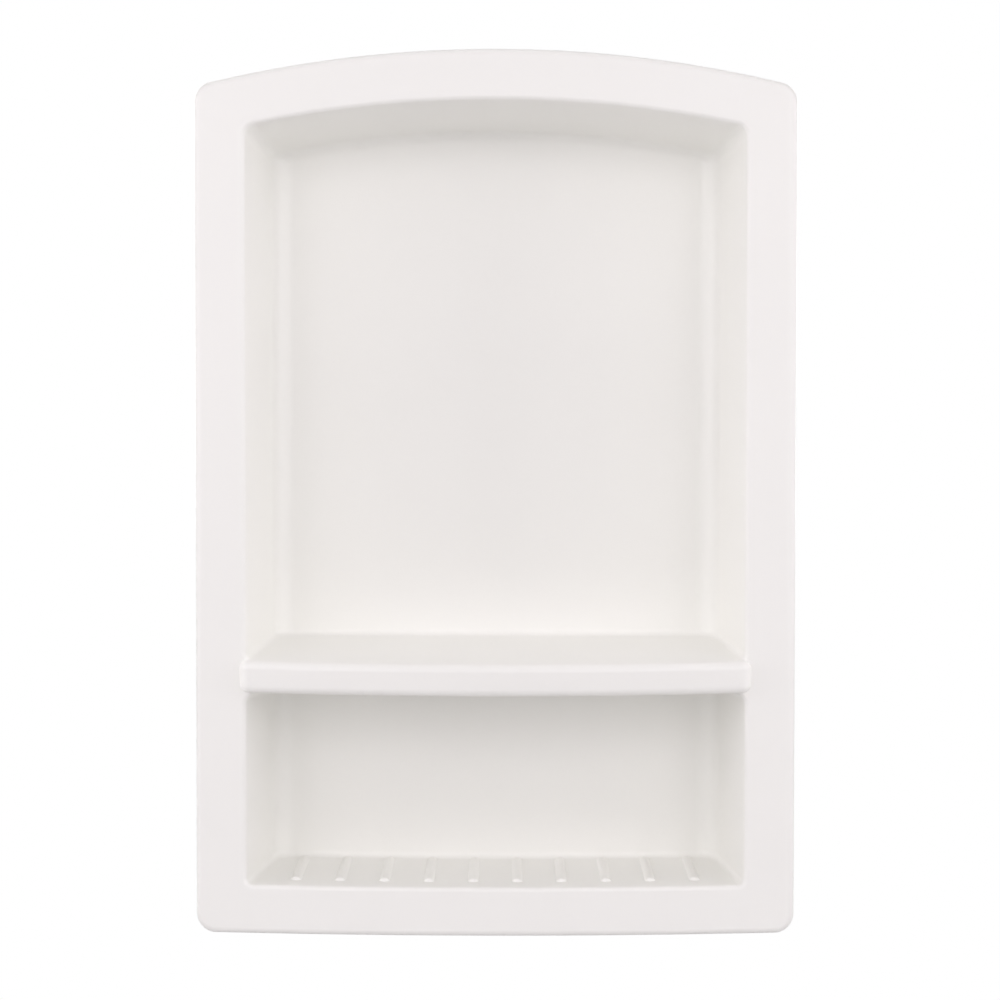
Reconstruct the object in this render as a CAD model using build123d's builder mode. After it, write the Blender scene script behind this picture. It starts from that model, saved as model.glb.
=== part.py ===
from build123d import *
import os
from math import degrees, radians, sqrt, tan

# Recessed soap dish: one moulded piece of solid-surface resin, set into a cut-out in a shower wall.
# Millimetres. +Z is up, the front faces -Y and the back of the flange lies on the wall at Y = 0.
# The origin is the middle of the flange on the wall.

# Flange that covers the edge of the cut-out
flange_width = 381.0
flange_height = 563.4
flange_thickness = 8.0
flange_edge_radius = 4.0
rail_width = 32.0
arch_radius = 784.0
base_bow = 2.5
corner_radius = 12.7

# Recess behind the flange
overall_depth = 101.6
wall = 6.5
recess_draft = 6.0
mouth_edge_radius = 3.0
back_radius = 14.0
ceiling_radius = 8.0
foot_radius = 4.0

# Soap floor and shelf, heights taken at the front of the flange above its lowest point
floor_height = 31.4
floor_slope = 0.9
shelf_height = 177.0
shelf_thickness = 21.0
shelf_slope = 4.3
shelf_underside_draft = 2.0

# Bowed nosing on the front of the shelf
nosing_thickness = 20.5
nosing_reach = 20.0
nosing_end_reach = 7.0
nosing_overlap = 4.0
nosing_corner_radius = 9.0
nosing_edge_radius = 5.0

# Ribs that keep the soap clear of the wet floor
rib_count = 10
rib_side_margin = 20.0
rib_radius = 4.2
rib_height = 1.8
rib_setback = 17.0
rib_back_gap = 5.0
rib_nose = 2.8

# Places worked out from the sizes above
front = -flange_thickness
recess_depth = overall_depth - wall
mouth_half = flange_width / 2 - rail_width
back_half = mouth_half - recess_depth * tan(radians(recess_draft))
flange_bottom = -flange_height / 2
arch_centre = flange_height / 2 - arch_radius
base_radius = ((flange_width / 2) ** 2 + base_bow**2) / (2 * base_bow)
base_centre = flange_bottom + base_radius
floor_radius = base_radius - floor_height
shelf_top = flange_bottom + shelf_height
shelf_underside = shelf_top - shelf_thickness
mouth_plane = Plane.XZ.offset(flange_thickness)
shelf_top_plane = Plane(Location((0, front, shelf_top), (shelf_slope, 0, 0)))
shelf_underside_plane = Plane(Location((0, front, shelf_underside), (-shelf_underside_draft, 0, 0)))


def arched_face(plane, inset, base_inset):
    """Flange face with its arch and sides brought in by one inset and its bowed base by another."""
    half = flange_width / 2 - inset
    arch = arch_radius - inset
    base = base_radius - base_inset
    shoulder = arch_centre + sqrt(arch**2 - half**2)
    heel = base_centre - sqrt(base**2 - half**2)
    with BuildSketch(plane) as face:
        with BuildLine():
            Line((half, heel), (half, shoulder))
            ThreePointArc((half, shoulder), (0, arch_centre + arch), (-half, shoulder))
            Line((-half, shoulder), (-half, heel))
            ThreePointArc((-half, heel), (0, base_centre - base), (half, heel))
        make_face()
    return face.sketch


def niche(grow, base_plane=None, ceiling_plane=None):
    """Drafted recess from the bowed floor to the arch, every face moved outward by grow.

    A base plane keeps what is above it, and a ceiling plane what is below it.
    """
    mouth = arched_face(mouth_plane, rail_width - grow, floor_height - grow)
    with BuildPart() as body:
        extrude(mouth, amount=-recess_depth - grow)
        draft(body.faces().sort_by(Axis.Z)[0], mouth_plane, -floor_slope)
        walls = body.faces().filter_by(Axis.Y, reverse=True).sort_by(Axis.Z)
        draft(walls[1:], mouth_plane, -recess_draft)
        if base_plane:
            split(bisect_by=base_plane.offset(-grow), keep=Keep.TOP)
        if ceiling_plane:
            split(bisect_by=ceiling_plane.offset(grow), keep=Keep.BOTTOM)
        uprights = body.faces().sort_by(Axis.Y)[-1].edges().sort_by(Axis.X)
        fillet([uprights[0], uprights[-1]], back_radius + grow)
        base = body.faces().sort_by(Axis.Z)[0]
        fillet(base.edges().sort_by(Axis.Y)[1:], foot_radius + grow)
        ceiling = body.faces().sort_by(Axis.Z)[-1]
        fillet(ceiling.edges().sort_by(Axis.Y)[1:], ceiling_radius + grow)
    return body.part


# The niches are hollows, and the same forms grown by the wall are the shells round them
upper_space = niche(0, base_plane=shelf_top_plane)
upper_shell = niche(wall, base_plane=shelf_top_plane)
soap_space = niche(0, ceiling_plane=shelf_underside_plane)
soap_shell = niche(wall, ceiling_plane=shelf_underside_plane)

# Nosing, level with the shelf's top, rooted in the flange behind its rounded mouth
nosing_half = mouth_half + nosing_overlap
nosing_root = (flange_thickness + mouth_edge_radius) / 2
with BuildPart() as nosing:
    with BuildSketch(shelf_top_plane) as plan:
        with BuildLine():
            left_end = (-nosing_half, -nosing_end_reach)
            right_end = (nosing_half, -nosing_end_reach)
            ThreePointArc(left_end, (0, -nosing_reach), right_end)
            Polyline(right_end, (nosing_half, nosing_root), (-nosing_half, nosing_root), left_end)
        make_face()
        fillet(plan.vertices().group_by(Axis.Y)[0], nosing_corner_radius)
    extrude(amount=-nosing_thickness)
    top = nosing.faces().sort_by(Axis.Z)[-1]
    fillet(top.edges().sort_by(Axis.Y)[:-1], nosing_edge_radius)
    underside = nosing.faces().sort_by(Axis.Z)[0]
    fillet(underside.edges().sort_by(Axis.Y)[:-1], nosing_edge_radius)

# One soap rib: a round bar with a blunt nose, sunk in the floor to its height
with BuildPart() as rib:
    with Locations((0, rib_setback, rib_height - rib_radius)):
        Cylinder(
            rib_radius,
            recess_depth - rib_setback - rib_back_gap,
            rotation=(-90, 0, 0),
            align=(Align.CENTER, Align.CENTER, Align.MIN),
        )
    chamfer(rib.edges().sort_by(Axis.Y)[0], rib_nose)
    split(bisect_by=Plane.XY.offset(-wall / 2), keep=Keep.TOP)

# The ribs fan out about the axis of the floor's bow and lie along its slope
rib_spread = degrees((back_half - rib_side_margin) / floor_radius)
rib_turns = [rib_spread * (1 - 2 * step / (rib_count - 1)) for step in range(rib_count)]
bow_axis = Pos(0, front, base_centre)
rib_foot = Pos(0, 0, -floor_radius) * Rot(floor_slope, 0, 0)
rib_places = [bow_axis * Rot(0, turn, 0) * rib_foot for turn in rib_turns]

with BuildPart() as soap_dish:
    with BuildSketch(Plane.XZ) as outline:
        add(arched_face(Plane.XY, 0, 0))
        fillet(outline.vertices(), corner_radius)
    extrude(amount=flange_thickness)
    fillet(soap_dish.faces().sort_by(Axis.Y)[0].edges(), flange_edge_radius)
    add([upper_shell, soap_shell])
    add([upper_space, soap_space], mode=Mode.SUBTRACT)
    face = soap_dish.faces().filter_by(Axis.Y).sort_by(Axis.Y)[0]
    fillet([edge for wire in face.inner_wires() for edge in wire.edges()], mouth_edge_radius)
    add(nosing.part)
    with Locations(rib_places):
        add(rib.part)

soap_dish.part.label = "recessed_soap_dish"
os.makedirs("parts", exist_ok=True)
export_step(soap_dish.part, "parts/recessed_soap_dish.step")
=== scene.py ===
"""Recessed soap dish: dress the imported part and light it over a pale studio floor.

Metres throughout. +Z is up, the front faces -Y and the back of the flange lies on the wall at Y = 0.
"""

import logging
import math
from dataclasses import asdict, dataclass
from enum import Enum
from typing import Any

import bpy
from mathutils import Matrix, Vector


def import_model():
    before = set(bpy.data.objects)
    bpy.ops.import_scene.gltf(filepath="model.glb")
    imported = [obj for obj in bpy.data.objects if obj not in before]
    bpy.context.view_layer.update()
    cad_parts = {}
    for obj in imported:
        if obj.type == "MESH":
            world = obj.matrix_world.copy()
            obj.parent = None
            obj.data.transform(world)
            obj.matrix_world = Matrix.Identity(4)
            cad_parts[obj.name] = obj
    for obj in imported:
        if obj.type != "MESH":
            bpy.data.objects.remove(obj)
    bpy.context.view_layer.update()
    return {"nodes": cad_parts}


Colour = tuple[float, float, float]
Point = tuple[float, float, float]
Socket = bpy.types.NodeSocket

LOG = logging.getLogger("soap_dish")
NODE = "recessed_soap_dish"
OPAQUE = 1.0
FULL = 1.0
NOISE_MIDDLE = 0.5
WHITE: Colour = (1.0, 1.0, 1.0)
LAMP_TINT: Colour = (1.0, 0.962, 0.994)
UPRIGHT: Point = (0.0, 0.0, 1.0)
LEVEL_ONLY: Point = (1.0, 1.0, 0.0)


class Field(Enum):
    """What a shader group's socket carries."""

    COLOUR = "NodeSocketColor"
    VALUE = "NodeSocketFloat"
    VECTOR = "NodeSocketVector"


class Blend(Enum):
    """What a Mix node mixes: its data type, the places of its two inputs and the place of its result."""

    VALUE = ("FLOAT", 2, 3, 0)
    COLOUR = ("RGBA", 6, 7, 2)


@dataclass(frozen=True)
class Octaves:
    """How fine a noise is: how many octaves it adds up, and the weight of the finer ones."""

    count: float
    weight: float


@dataclass
class Board:
    """A node tree with short calls to place and join nodes."""

    tree: bpy.types.NodeTree

    def add(self, kind: str, **settings: Any) -> bpy.types.Node:
        """Place a node.

        Args:
            kind: The node's type name without its ShaderNode prefix.
            settings: Properties to set on the node.

        Returns:
            The new node.
        """
        node = self.tree.nodes.new(f"ShaderNode{kind}")
        for name, value in settings.items():
            setattr(node, name, value)
        return node

    def feed(self, socket: Socket, source: Any) -> None:
        """Join a source to a socket, or set the socket where the source is a plain value.

        Args:
            socket: The input socket.
            source: An output socket, or a number, colour or vector.
        """
        if isinstance(source, Socket):
            self.tree.links.new(source, socket)
        else:
            socket.default_value = source

    def math(self, operation: str, *terms: Any) -> Socket:
        """Place a Math node.

        Args:
            operation: The Math node's operation.
            terms: Its inputs, sockets or numbers.

        Returns:
            The result's socket.
        """
        node = self.add("Math", operation=operation)
        for socket, term in zip(node.inputs, terms):
            self.feed(socket, term)
        return node.outputs["Value"]

    def length(self, vector: Socket) -> Socket:
        """Measure a vector.

        Args:
            vector: The vector's socket.

        Returns:
            The length's socket.
        """
        node = self.add("VectorMath", operation="LENGTH")
        self.feed(node.inputs[0], vector)
        return node.outputs["Value"]

    def ramp(self, value: Any, low: float, high: float, start: float = 0.0, end: float = FULL) -> Socket:
        """Carry a value smoothly from one range to another.

        Args:
            value: The value that is read.
            low: Where the change starts.
            high: Where the change ends.
            start: The result at and below low.
            end: The result at and above high.

        Returns:
            The result's socket.
        """
        node = self.add("MapRange", interpolation_type="SMOOTHSTEP")
        names = ("Value", "From Min", "From Max", "To Min", "To Max")
        for name, source in zip(names, (value, low, high, start, end)):
            self.feed(node.inputs[name], source)
        return node.outputs["Result"]

    def mix(self, blend: Blend, factor: Any, first: Any, second: Any) -> Socket:
        """Mix two values or two colours.

        Args:
            blend: What is mixed.
            factor: Share of the second one.
            first: The one at 0.
            second: The one at 1.

        Returns:
            The mixed socket.
        """
        data_type, first_place, second_place, result_place = blend.value
        node = self.add("Mix", data_type=data_type)
        self.feed(node.inputs["Factor"], factor)
        self.feed(node.inputs[first_place], first)
        self.feed(node.inputs[second_place], second)
        return node.outputs[result_place]

    def cover(self, factor: Any, under: Socket, over: Socket) -> Socket:
        """Lay one shader over another.

        Args:
            factor: Share of the shader on top.
            under: The shader below.
            over: The shader on top.

        Returns:
            The mixed shader's socket.
        """
        node = self.add("MixShader")
        for socket, source in zip(node.inputs, (factor, under, over)):
            self.feed(socket, source)
        return node.outputs["Shader"]

    def noise(self, place: Any, scale: Any, octaves: Octaves) -> Socket:
        """Place a noise texture.

        Args:
            place: Coordinates to read it at.
            scale: Cells to a metre.
            octaves: How fine it is.

        Returns:
            The noise's value socket.
        """
        node = self.add("TexNoise", noise_dimensions="3D")
        sources = {"Vector": place, "Scale": scale, "Detail": octaves.count, "Roughness": octaves.weight}
        for name, source in sources.items():
            self.feed(node.inputs[name], source)
        return node.outputs["Fac"]

    def swing(self, place: Any, scale: Any, octaves: Octaves) -> Socket:
        """Place a noise texture that swings about 0.

        Args:
            place: Coordinates to read it at.
            scale: Cells to a metre.
            octaves: How fine it is.

        Returns:
            The swing's socket.
        """
        return self.math("SUBTRACT", self.noise(place, scale, octaves), NOISE_MIDDLE)


def rgba(colour: Colour) -> tuple[float, float, float, float]:
    """Give a colour its alpha."""
    return (*colour, OPAQUE)


def blank_material(name: str) -> bpy.types.Material:
    """Make a material with no nodes in it.

    Args:
        name: The material's name.

    Returns:
        The material.
    """
    material = bpy.data.materials.new(name)
    material.use_nodes = True
    material.node_tree.nodes.clear()
    return material


def put_in_scene(name: str, data: bpy.types.ID) -> bpy.types.Object:
    """Make an object and link it to the scene.

    Args:
        name: The object's name.
        data: Its mesh, light or camera.

    Returns:
        The object.
    """
    placed = bpy.data.objects.new(name, data)
    bpy.context.scene.collection.objects.link(placed)
    return placed


def outward(azimuth: float, elevation: float) -> Vector:
    """Give the direction from the dish to a place in the room.

    Args:
        azimuth: Degrees round from the front, 90 on the dish's right.
        elevation: Degrees up from level.

    Returns:
        A vector of length 1.
    """
    turn = math.radians(azimuth)
    tilt = math.radians(elevation)
    return Vector((math.sin(turn) * math.cos(tilt), -math.cos(turn) * math.cos(tilt), math.sin(tilt)))


class ShaderGroup:
    """A shader node group that is built once and placed in each material with its own values."""

    name = ""
    takes: dict[str, Field] = {}
    gives: dict[str, Field] = {}

    def tree(self) -> bpy.types.NodeTree:
        """Give the group's tree, building it the first time.

        Returns:
            The node tree.
        """
        found = bpy.data.node_groups.get(self.name)
        if found:
            return found
        tree = bpy.data.node_groups.new(self.name, "ShaderNodeTree")
        for way, fields in (("INPUT", self.takes), ("OUTPUT", self.gives)):
            for label, field in fields.items():
                tree.interface.new_socket(label, in_out=way, socket_type=field.value)
        start = tree.nodes.new("NodeGroupInput")
        end = tree.nodes.new("NodeGroupOutput")
        self.wire(Board(tree), start.outputs, end.inputs)
        return tree

    def wire(self, board: Board, start: Any, end: Any) -> None:
        """Place the group's own nodes.

        Args:
            board: The group's board.
            start: Sockets that bring in what the group takes.
            end: Sockets for what the group gives.
        """
        raise NotImplementedError

    def place(self, board: Board, **values: Any) -> Any:
        """Place the group in a material.

        Args:
            board: The material's board.
            values: Inputs by name, sockets or plain values.

        Returns:
            The placed group's outputs.
        """
        node = board.add("Group")
        node.node_tree = self.tree()
        for label, value in values.items():
            board.feed(node.inputs[label.replace("_", " ").capitalize()], value)
        return node.outputs


class MineralFill(ShaderGroup):
    """Fine mineral filler and slow clouds in a cast resin."""

    name = "mineral_fill"
    takes = {
        "Place": Field.VECTOR,
        "Colour": Field.COLOUR,
        "Fleck scale": Field.VALUE,
        "Fleck depth": Field.VALUE,
        "Cloud scale": Field.VALUE,
        "Cloud depth": Field.VALUE,
    }
    gives = {"Colour": Field.COLOUR}
    grain_octaves = Octaves(count=2.0, weight=0.6)
    cloud_octaves = Octaves(count=3.0, weight=0.5)
    light_grains = (0.26, 0.4)
    dark_grains = (0.6, 0.74)

    def wire(self, board: Board, start: Any, end: Any) -> None:
        """Darken and lighten the colour by filler grains and by clouds.

        Args:
            board: The group's board.
            start: Sockets that bring in what the group takes.
            end: Sockets for what the group gives.
        """
        grain = board.noise(start["Place"], start["Fleck scale"], self.grain_octaves)
        light = board.ramp(grain, *self.light_grains, start=FULL, end=0.0)
        dark = board.ramp(grain, *self.dark_grains)
        fleck = board.math("MULTIPLY", board.math("SUBTRACT", light, dark), start["Fleck depth"])
        swing = board.swing(start["Place"], start["Cloud scale"], self.cloud_octaves)
        cloud = board.math("DIVIDE", swing, NOISE_MIDDLE)
        change = board.math("MULTIPLY_ADD", cloud, start["Cloud depth"], fleck)
        tone = board.add("VectorMath", operation="SCALE")
        board.feed(tone.inputs[0], start["Colour"])
        board.feed(tone.inputs["Scale"], board.math("ADD", change, FULL))
        board.feed(end["Colour"], tone.outputs["Vector"])


class SurfaceSkin(ShaderGroup):
    """Height and roughness of a surface at two scales: long waves and fine pits."""

    name = "surface_skin"
    takes = {
        "Place": Field.VECTOR,
        "Wave scale": Field.VALUE,
        "Wave height": Field.VALUE,
        "Pit scale": Field.VALUE,
        "Pit height": Field.VALUE,
        "Roughness": Field.VALUE,
        "Roughness drift": Field.VALUE,
    }
    gives = {"Height": Field.VALUE, "Roughness": Field.VALUE}
    wave_octaves = Octaves(count=1.0, weight=0.4)
    pit_octaves = Octaves(count=2.0, weight=0.55)

    def wire(self, board: Board, start: Any, end: Any) -> None:
        """Add the waves to the pits, and let the roughness drift with both.

        Args:
            board: The group's board.
            start: Sockets that bring in what the group takes.
            end: Sockets for what the group gives.
        """
        wave = board.swing(start["Place"], start["Wave scale"], self.wave_octaves)
        pit = board.swing(start["Place"], start["Pit scale"], self.pit_octaves)
        pits = board.math("MULTIPLY", pit, start["Pit height"])
        board.feed(end["Height"], board.math("MULTIPLY_ADD", wave, start["Wave height"], pits))
        both = board.math("ADD", wave, pit)
        rough = board.math("MULTIPLY_ADD", both, start["Roughness drift"], start["Roughness"])
        board.feed(end["Roughness"], rough)


@dataclass(frozen=True)
class SkinFinish:
    """How even and how glossy a surface is."""

    wave_scale: float
    wave_height: float
    pit_scale: float
    pit_height: float
    roughness: float
    roughness_drift: float

    def paint(self, board: Board, place: Socket) -> Any:
        """Place the surface skin with this finish's values."""
        return SurfaceSkin().place(board, place=place, **asdict(self))


@dataclass(frozen=True)
class ResinFinish:
    """How one side of the cast resin looks."""

    colour: Colour
    fleck_scale: float
    fleck_depth: float
    cloud_scale: float
    cloud_depth: float
    skin: SkinFinish

    def paint(self, board: Board, place: Socket) -> tuple[Socket, Socket, Socket]:
        """Place this finish's two groups.

        Args:
            board: The material's board.
            place: Object coordinates.

        Returns:
            The colour, roughness and height sockets.
        """
        fill = MineralFill().place(
            board,
            place=place,
            colour=rgba(self.colour),
            fleck_scale=self.fleck_scale,
            fleck_depth=self.fleck_depth,
            cloud_scale=self.cloud_scale,
            cloud_depth=self.cloud_depth,
        )
        skin = self.skin.paint(board, place)
        return fill["Colour"], skin["Roughness"], skin["Height"]


POLISHED_FACE = ResinFinish(
    colour=(0.953, 0.951, 0.916),
    fleck_scale=1500.0,
    fleck_depth=0.02,
    cloud_scale=11.0,
    cloud_depth=0.012,
    skin=SkinFinish(
        wave_scale=24.0,
        wave_height=0.000008,
        pit_scale=1100.0,
        pit_height=0.000004,
        roughness=0.35,
        roughness_drift=0.1,
    ),
)
CAST_BACK = ResinFinish(
    colour=(0.77, 0.74, 0.71),
    fleck_scale=700.0,
    fleck_depth=0.06,
    cloud_scale=16.0,
    cloud_depth=0.07,
    skin=SkinFinish(
        wave_scale=55.0,
        wave_height=0.0009,
        pit_scale=520.0,
        pit_height=0.00022,
        roughness=0.8,
        roughness_drift=0.2,
    ),
)
MATT_PAPER = SkinFinish(
    wave_scale=4.0,
    wave_height=0.0002,
    pit_scale=600.0,
    pit_height=0.00002,
    roughness=0.9,
    roughness_drift=0.05,
)


@dataclass
class SoapDish:
    """The moulded dish, polished in front and left as cast behind.

    The sizes are those of the hollows, with heights and widths at the front of the flange.
    A slope is the change for each metre inward.
    """

    node: bpy.types.Object
    flange_thickness: float = 0.008
    mouth_half: float = 0.1585
    arch_radius: float = 0.752
    arch_centre: float = -0.5023
    back: float = 0.0871
    draft: float = math.tan(math.radians(6.0))
    wall: float = 0.0065
    edge_radius: float = 0.008
    floor: float = -0.2503
    floor_radius: float = 7.2279
    floor_rise: float = math.tan(math.radians(0.9))
    shelf_top: float = -0.1047
    shelf_rise: float = math.tan(math.radians(4.3))
    shelf_underside: float = -0.1257
    shelf_fall: float = math.tan(math.radians(2.0))
    back_edge: float = -0.0003
    refraction: float = 1.5

    def dress(self) -> None:
        """Put the resin in the node's material slots."""
        resin = self.resin()
        for slot in self.node.material_slots:
            slot.material = resin

    def behind(self, board: Board, place: Socket) -> Socket:
        """Mask the surfaces that the wall hides: the flange's back and the outside of the two pans.

        Args:
            board: The material's board.
            place: Object coordinates.

        Returns:
            A socket that is 1 behind and 0 in front.
        """
        axes = board.add("SeparateXYZ")
        board.feed(axes.inputs["Vector"], place)
        across, depth, up = axes.outputs
        inward = board.math("ADD", depth, self.flange_thickness)
        taper = board.math("MULTIPLY", inward, self.draft)

        # Distances past the hollows' sides, arch, bowed floor, shelf and back, below 0 inside the hollows
        side = board.math("ADD", board.math("ABSOLUTE", across), taper)
        beside = board.math("SUBTRACT", side, self.mouth_half)
        width = board.math("MULTIPLY", across, across)
        rise = board.math("SUBTRACT", up, self.arch_centre)
        square = board.math("MULTIPLY_ADD", rise, rise, width)
        reach = board.math("ADD", board.math("SQRT", square), taper)
        above = board.math("SUBTRACT", reach, self.arch_radius)
        floor = board.math("MULTIPLY_ADD", inward, self.floor_rise, self.floor)
        floor = board.math("MULTIPLY_ADD", width, 1 / (2 * self.floor_radius), floor)
        below = board.math("SUBTRACT", floor, up)
        shelf = board.math("MULTIPLY_ADD", inward, self.shelf_rise, self.shelf_top)
        under_shelf = board.math("SUBTRACT", shelf, up)
        roof = board.math("MULTIPLY_ADD", inward, -self.shelf_fall, self.shelf_underside)
        over_roof = board.math("SUBTRACT", up, roof)
        between = board.math("MINIMUM", under_shelf, over_roof)
        over = board.math("MAXIMUM", board.math("MAXIMUM", above, below), between)
        past = board.math("SUBTRACT", depth, self.back)

        # Half way through the wall, rounded at its edges
        out = board.add("CombineXYZ")
        for socket, distance in zip(out.inputs, (beside, past, over)):
            widened = board.math("ADD", distance, self.edge_radius)
            board.feed(socket, board.math("MAXIMUM", widened, 0.0))
        mid_wall = self.edge_radius + self.wall / 2
        outside = board.math("GREATER_THAN", board.length(out.outputs["Vector"]), mid_wall)
        return board.math("MULTIPLY", outside, board.math("GREATER_THAN", depth, self.back_edge))

    def resin(self) -> bpy.types.Material:
        """Make the dish's material.

        Returns:
            The material.
        """
        material = blank_material("solid_surface_resin")
        board = Board(material.node_tree)
        place = board.add("TexCoord").outputs["Object"]
        mask = self.behind(board, place)
        face_colour, face_rough, face_height = POLISHED_FACE.paint(board, place)
        back_colour, back_rough, back_height = CAST_BACK.paint(board, place)
        bump = board.add("Bump")
        bump.inputs["Strength"].default_value = FULL
        bump.inputs["Distance"].default_value = FULL
        board.feed(bump.inputs["Height"], board.mix(Blend.VALUE, mask, face_height, back_height))
        shader = board.add("BsdfPrincipled")
        shader.inputs["IOR"].default_value = self.refraction
        board.feed(shader.inputs["Base Color"], board.mix(Blend.COLOUR, mask, face_colour, back_colour))
        board.feed(shader.inputs["Roughness"], board.mix(Blend.VALUE, mask, face_rough, back_rough))
        board.feed(shader.inputs["Normal"], bump.outputs["Normal"])
        output = board.add("OutputMaterial")
        board.feed(output.inputs["Surface"], shader.outputs["BSDF"])
        return material


@dataclass
class StudioFloor:
    """A pale round floor under the dish that fades to white at its rim."""

    height: float = -0.62
    radius: float = 1.15
    fade_start: float = 0.55
    fade_end: float = 1.1
    rings: int = 12
    spokes: int = 72
    tone: Colour = (0.78, 0.78, 0.78)

    def build(self) -> bpy.types.Object:
        """Make the floor's mesh, give it the paper material and put it in the scene.

        Returns:
            The floor.
        """
        points = [(0.0, 0.0, self.height)]
        for ring in range(1, self.rings + 1):
            out = self.radius * ring / self.rings
            for spoke in range(self.spokes):
                angle = math.tau * spoke / self.spokes
                points.append((out * math.cos(angle), out * math.sin(angle), self.height))
        faces = [(0, 1 + spoke, 1 + (spoke + 1) % self.spokes) for spoke in range(self.spokes)]
        for ring in range(self.rings - 1):
            inner = 1 + ring * self.spokes
            outer = inner + self.spokes
            for spoke in range(self.spokes):
                after = (spoke + 1) % self.spokes
                faces.append((inner + spoke, outer + spoke, outer + after, inner + after))
        mesh = bpy.data.meshes.new("studio_floor")
        mesh.from_pydata(points, [], faces)
        mesh.materials.append(self.paper())
        floor = put_in_scene("studio_floor", mesh)
        return floor

    def paper(self) -> bpy.types.Material:
        """Make the floor's material: matt paper that turns into the white background at the rim.

        Returns:
            The material.
        """
        material = blank_material("studio_paper")
        board = Board(material.node_tree)
        place = board.add("TexCoord").outputs["Object"]
        paper = board.add("BsdfPrincipled")
        paper.inputs["Base Color"].default_value = rgba(self.tone)
        board.feed(paper.inputs["Roughness"], MATT_PAPER.paint(board, place)["Roughness"])
        white = board.add("Emission")
        white.inputs["Color"].default_value = rgba(WHITE)
        white.inputs["Strength"].default_value = FULL
        flat = board.add("VectorMath", operation="MULTIPLY")
        board.feed(flat.inputs[0], place)
        board.feed(flat.inputs[1], LEVEL_ONLY)
        rim = board.ramp(board.length(flat.outputs["Vector"]), self.fade_start, self.fade_end)
        seen = board.add("LightPath").outputs["Is Camera Ray"]
        faded = board.math("MULTIPLY", rim, seen)
        output = board.add("OutputMaterial")
        surface = board.cover(faded, paper.outputs["BSDF"], white.outputs["Emission"])
        board.feed(output.inputs["Surface"], surface)
        return material


@dataclass
class Surroundings:
    """White all round to the eye, and a plain even light to the dish."""

    light: Colour = (1.0, 0.95, 0.87)
    level: float = 0.01

    def build(self) -> None:
        """Set the scene's world."""
        world = bpy.data.worlds.new("white_studio")
        world.use_nodes = True
        world.node_tree.nodes.clear()
        bpy.context.scene.world = world
        board = Board(world.node_tree)
        light = board.add("Background")
        light.inputs["Color"].default_value = rgba(self.light)
        light.inputs["Strength"].default_value = self.level
        white = board.add("Background")
        white.inputs["Color"].default_value = rgba(WHITE)
        white.inputs["Strength"].default_value = FULL
        rays = board.add("LightPath").outputs
        seen = board.math("MAXIMUM", rays["Is Camera Ray"], rays["Is Glossy Ray"])
        seen = board.math("MAXIMUM", seen, rays["Is Transmission Ray"])
        output = board.add("OutputWorld")
        surface = board.cover(seen, light.outputs["Background"], white.outputs["Background"])
        board.feed(output.inputs["Surface"], surface)


@dataclass
class Softbox:
    """A wide soft lamp aimed at the middle of the dish."""

    name: str
    azimuth: float
    elevation: float
    distance: float
    width: float
    height: float
    watts: float

    def build(self) -> bpy.types.Object:
        """Hang the lamp.

        Returns:
            The lamp.
        """
        lamp = bpy.data.lights.new(self.name, "AREA")
        lamp.shape = "RECTANGLE"
        lamp.size = self.width
        lamp.size_y = self.height
        lamp.energy = self.watts
        lamp.color = LAMP_TINT
        away = outward(self.azimuth, self.elevation)
        box = put_in_scene(self.name, lamp)
        box.location = away * self.distance
        box.rotation_euler = (-away).to_track_quat("-Z", "Y").to_euler()
        box.visible_camera = False
        return box


class Side(Enum):
    """Where a lamp of a pair hangs: the way it is turned from the front, and its share of the watts."""

    LEFT = (-1.0, 1.01)
    RIGHT = (1.0, 0.985)


def pair(name: str, azimuth: float, watts: float, **sizes: float) -> list[Softbox]:
    """Make a left and a right lamp that mirror each other.

    Args:
        name: What the two lamps' names share.
        azimuth: Degrees from the front to either lamp.
        watts: Power of a lamp before its side's share.
        sizes: The fields that are the same on both sides.

    Returns:
        The left and the right lamp.
    """
    lamps = []
    for side in Side:
        turn, share = side.value
        label = f"{side.name.lower()}_{name}"
        lamps.append(Softbox(label, azimuth=turn * azimuth, watts=share * watts, **sizes))
    return lamps


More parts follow.
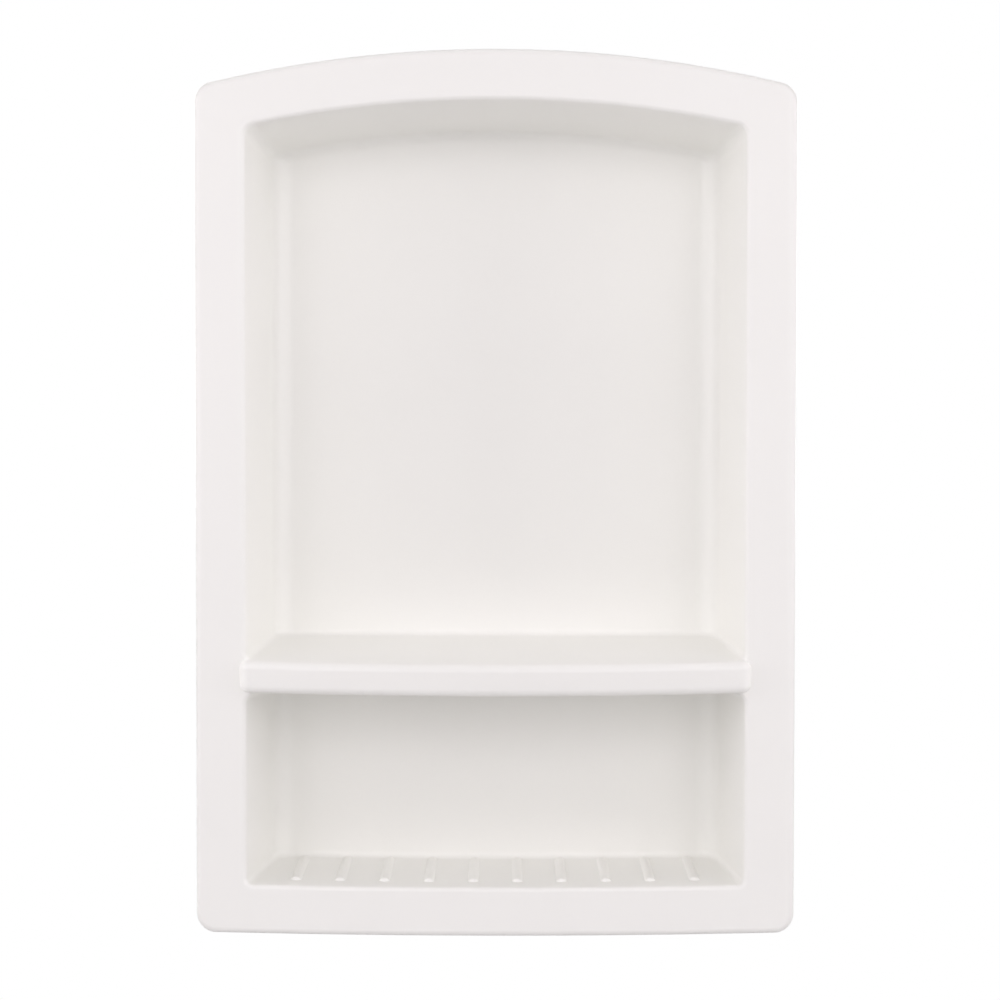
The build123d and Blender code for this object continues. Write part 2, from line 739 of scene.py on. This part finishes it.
SOFTBOXES = (
    Softbox("front_softbox", azimuth=0.0, elevation=25.0, distance=2.2, width=1.2, height=1.0, watts=2.5),
    *pair("near_softbox", azimuth=18.0, elevation=9.3, distance=2.3, width=0.8, height=1.2, watts=5.25),
    *pair("middle_softbox", azimuth=32.0, elevation=9.3, distance=2.25, width=0.9, height=1.2, watts=5.45),
    *pair("far_softbox", azimuth=58.0, elevation=9.3, distance=2.1, width=0.9, height=1.2, watts=5.75),
    *pair("strip", azimuth=78.0, elevation=8.0, distance=2.0, width=1.1, height=1.5, watts=11.3),
    *pair("high_softbox", azimuth=40.0, elevation=38.0, distance=2.1, width=1.0, height=1.0, watts=3.2),
    Softbox("top_softbox", azimuth=0.0, elevation=78.0, distance=1.4, width=1.4, height=0.5, watts=2.45),
    *pair("back_softbox", azimuth=145.0, elevation=12.0, distance=2.2, width=1.2, height=1.2, watts=12.0),
    Softbox(
        "back_top_softbox", azimuth=180.0, elevation=68.0, distance=2.0, width=1.6, height=1.2, watts=3.0
    ),
)


@dataclass
class PhotoCamera:
    """The camera at the photograph's viewpoint."""

    aim: Point = (0.002844, -0.008, -0.003094)
    distance: float = 1.525
    pitch: float = 1.902
    yaw: float = -0.080
    roll: float = 0.055
    lens: float = 86.67
    sensor: float = 36.0

    def build(self) -> bpy.types.Object:
        """Place the camera and make it the scene's own.

        Returns:
            The camera.
        """
        ahead = -outward(-self.yaw, self.pitch)
        level = ahead.cross(Vector(UPRIGHT)).normalized()
        upright = level.cross(ahead)
        roll = math.radians(self.roll)
        right = level * math.cos(roll) + upright * math.sin(roll)
        up = upright * math.cos(roll) - level * math.sin(roll)
        lens = bpy.data.cameras.new("photo_camera")
        lens.lens = self.lens
        lens.sensor_width = self.sensor
        lens.dof.use_dof = False
        camera = put_in_scene("photo_camera", lens)
        turned = Matrix((right, up, -ahead)).transposed().to_4x4()
        camera.matrix_world = Matrix.Translation(Vector(self.aim) - ahead * self.distance) @ turned
        bpy.context.scene.camera = camera
        return camera


def main() -> None:
    """Load the frame, dress the dish, and set up the studio and the camera."""
    logging.basicConfig(level=logging.INFO, format="%(name)s: %(message)s")
    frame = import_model()
    bpy.context.scene.view_settings.view_transform = "Standard"

    dish = SoapDish(frame["nodes"][NODE])
    dish.dress()
    LOG.info("dressed %s", dish.node.name)
    LOG.info("laid %s", StudioFloor().build().name)
    Surroundings().build()
    for softbox in SOFTBOXES:
        LOG.info("hung %s", softbox.build().name)
    LOG.info("placed %s", PhotoCamera().build().name)


if __name__ == "__main__":
    main()
